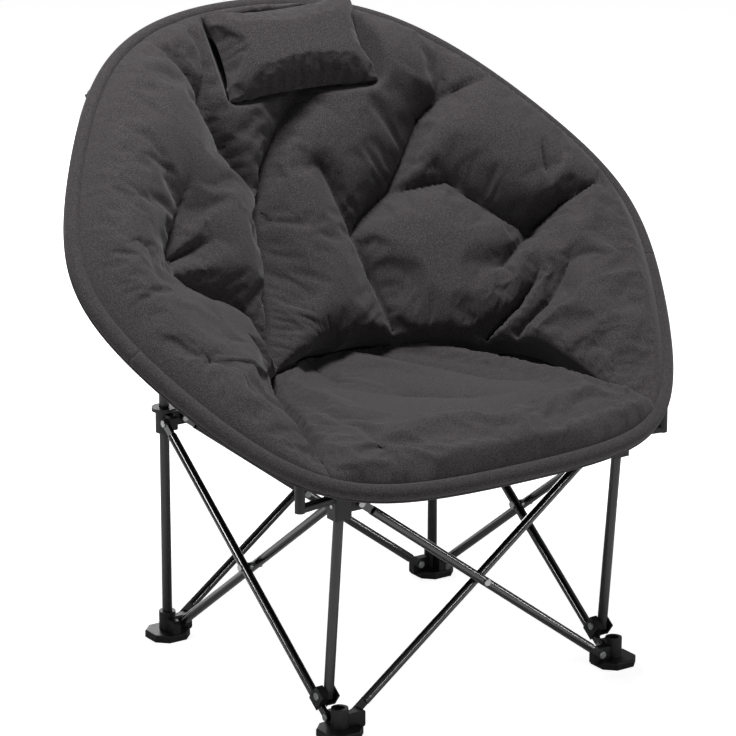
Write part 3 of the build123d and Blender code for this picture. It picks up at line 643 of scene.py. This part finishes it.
# Binding tape covers the sling's radial seams, sewn on from below.
TAPE_HALF = 0.011
TAPE_T = 0.0012
TAPE_GAP = 0.0004
TAPE_START = 0.05              # share out from the lowest point at which the tapes start
TAPE_STEPS = (90, 5)           # along and across
TAPE_TURNS = {"back": np.radians([-102, -70, -37.7, 0, 37.7, 70, 102]),
              "front": np.radians([110, 140, 180, 220, 250])}
for half, tape_turns in TAPE_TURNS.items():
    body = rim_parts[half][-1]
    for index, turn in enumerate(tape_turns):
        shares = np.linspace(TAPE_START, SLING_EDGE, TAPE_STEPS[0])
        middle = slung(np.full_like(shares, turn), shares)
        normal = slung_normal(np.full_like(shares, turn), shares)
        sideways = unit(np.cross(np.gradient(middle, axis=0), normal))
        width = np.linspace(-TAPE_HALF, TAPE_HALF, TAPE_STEPS[1])
        strip = middle[:, None] + sideways[:, None] * width[:, None]
        upper = strip - normal[:, None] * (SLING_T + TAPE_GAP)
        lower = strip - normal[:, None] * (SLING_T + (TAPE_GAP + TAPE_T))
        tape = closed_pad(f"sling_tape_{half}_{index}", upper, lower, sling_cloth)
        point_out(tape, np.mean([v.co for v in tape.data.vertices], axis=0))
        ride_seat(tape, body, slot="under_cloth")

# ---- Head pillow ----
# A small pillow of the same cloth and fibre filling. It is stitched shut at its edges and held to
# the back.
PILLOW_PULL = 0.08             # how far its sides draw in between the corners
PILLOW_FILL = 0.82             # share of its thickness that it has before the cloth fills out
PILLOW_ROUND = 0.42            # power of its rise from the edges: the lower, the steeper
PILLOW_SEAM = 0.001            # half thickness left at its edges
PILLOW_STEPS = (97, 65)
PILLOW_PRESSURE = 5.0
PILLOW_SLACK = 0.05
PILLOW_CAP = 0.010
u, v = np.meshgrid(*(np.linspace(-1, 1, steps) for steps in PILLOW_STEPS), indexing="ij")
wide = u * PILLOW_W / 2 * (1 - PILLOW_PULL * (1 - v ** 2))
deep = v * PILLOW_D / 2 * (1 - PILLOW_PULL * (1 - u ** 2))
puff = PILLOW_FILL * PILLOW_T / 2 * ((1 - u ** 4) * (1 - v ** 4)) ** PILLOW_ROUND
sewn = np.zeros_like(puff)
sewn[[0, -1], :] = sewn[:, [0, -1]] = 1
halves = []
for side in (1, -1):
    cover = np.stack([wide, deep, side * (puff + PILLOW_SEAM)], -1)[:, ::side]
    cover = settle(cover, sewn, PILLOW_PRESSURE, PILLOW_SLACK, PILLOW_CAP)
    halves.append(cover[:, ::side] @ pillow_axes.T + PILLOW_AT)
pillow = closed_pad("head_pillow", *halves, seat_cloth)
point_out(pillow, PILLOW_AT)
ride_seat(pillow, "saucer_back", "pillow")

# ---- Studio ----
# A pale floor under soft boxes, and a camera at the photograph's height and angle.
FLOOR_SIZE = 30.0
FLOOR_GLOW = 0.86              # lifts the floor to white where the camera sees it
floor_material, tree, shader = new_material("studio_floor", Base_Color=linear("#f4f4f4"), Roughness=0.9)
seen = add_node(tree, "ShaderNodeLightPath")
glow = add_node(tree, "ShaderNodeMath", {0: seen.outputs["Is Camera Ray"], 1: FLOOR_GLOW},
                operation="MULTIPLY")
shader.inputs["Emission Color"].default_value = (1, 1, 1, 1)
tree.links.new(glow.outputs[0], shader.inputs["Emission Strength"])
reach = FLOOR_SIZE / 2
floor_corners = [(-reach, -reach, 0), (reach, -reach, 0), (reach, reach, 0), (-reach, reach, 0)]
floor = mesh_piece("studio_floor", floor_corners, [(0, 1, 2, 3)], floor_material)

STUDIO_FILL = 0.04             # light from all round
STUDIO_SHINE = 0.14            # how much brighter the studio's white walls are in reflections
world = bpy.data.worlds.new("studio")
bpy.context.scene.world = world
world.use_nodes = True
tree = world.node_tree
tree.nodes.clear()
rays = add_node(tree, "ShaderNodeLightPath")
strength = add_node(tree, "ShaderNodeMath",
                    {0: rays.outputs["Is Glossy Ray"], 1: STUDIO_SHINE, 2: STUDIO_FILL},
                    operation="MULTIPLY_ADD")
fill = add_node(tree, "ShaderNodeBackground", {"Color": (1, 1, 1, 1), "Strength": strength.outputs[0]})
white = add_node(tree, "ShaderNodeBackground", {"Color": (1, 1, 1, 1), "Strength": 1.0})
mix = add_node(tree, "ShaderNodeMixShader", {"Fac": rays.outputs["Is Camera Ray"]})
tree.links.new(fill.outputs[0], mix.inputs[1])
tree.links.new(white.outputs[0], mix.inputs[2])
add_node(tree, "ShaderNodeOutputWorld", {"Surface": mix.outputs[0]})


def soft_box(name, place, target, width, height, watts):
    """A rectangular soft box that faces its target."""
    lamp = bpy.data.lights.new(name, "AREA")
    lamp.shape = "RECTANGLE"
    lamp.size, lamp.size_y, lamp.energy = width, height, watts
    box = bpy.data.objects.new(name, lamp)
    box.location = place
    box.rotation_euler = (Vector(target) - Vector(place)).to_track_quat("-Z", "Y").to_euler()
    bpy.context.scene.collection.objects.link(box)


SEAT_MIDDLE = (0, 0, 0.55)
FRAME_MIDDLE = (0, 0, 0.3)
soft_box("key_box", (-0.3, -0.1, 3.5), SEAT_MIDDLE, 0.9, 0.9, 98)
soft_box("left_strip", (-2.7, 0.3, 2.2), FRAME_MIDDLE, 0.14, 1.6, 16)
soft_box("front_strip", (0.0, -3.6, 1.7), FRAME_MIDDLE, 0.08, 1.6, 12)
soft_box("rear_box", (0.9, 3.4, 0.9), SEAT_MIDDLE, 1.8, 1.4, 45)
soft_box("right_strip", (3.15, -1.7, 0.9), FRAME_MIDDLE, 0.1, 1.6, 14)

CAMERA_AT = (-3.35386, -4.91210, 2.32160)
CAMERA_TURN = -0.598381        # round the object from straight in front
CAMERA_RISE = 0.303142         # above level
CAMERA_LENS = 192.0            # on a 36 mm sensor
camera = bpy.data.cameras.new("camera")
camera.lens, camera.sensor_width, camera.clip_end = CAMERA_LENS, 36.0, 60.0
camera_object = bpy.data.objects.new("camera", camera)
camera_object.location = CAMERA_AT
camera_object.rotation_euler = (np.pi / 2 - CAMERA_RISE, 0, CAMERA_TURN)
bpy.context.scene.collection.objects.link(camera_object)
bpy.context.scene.camera = camera_object
bpy.context.scene.view_settings.view_transform = "Standard"
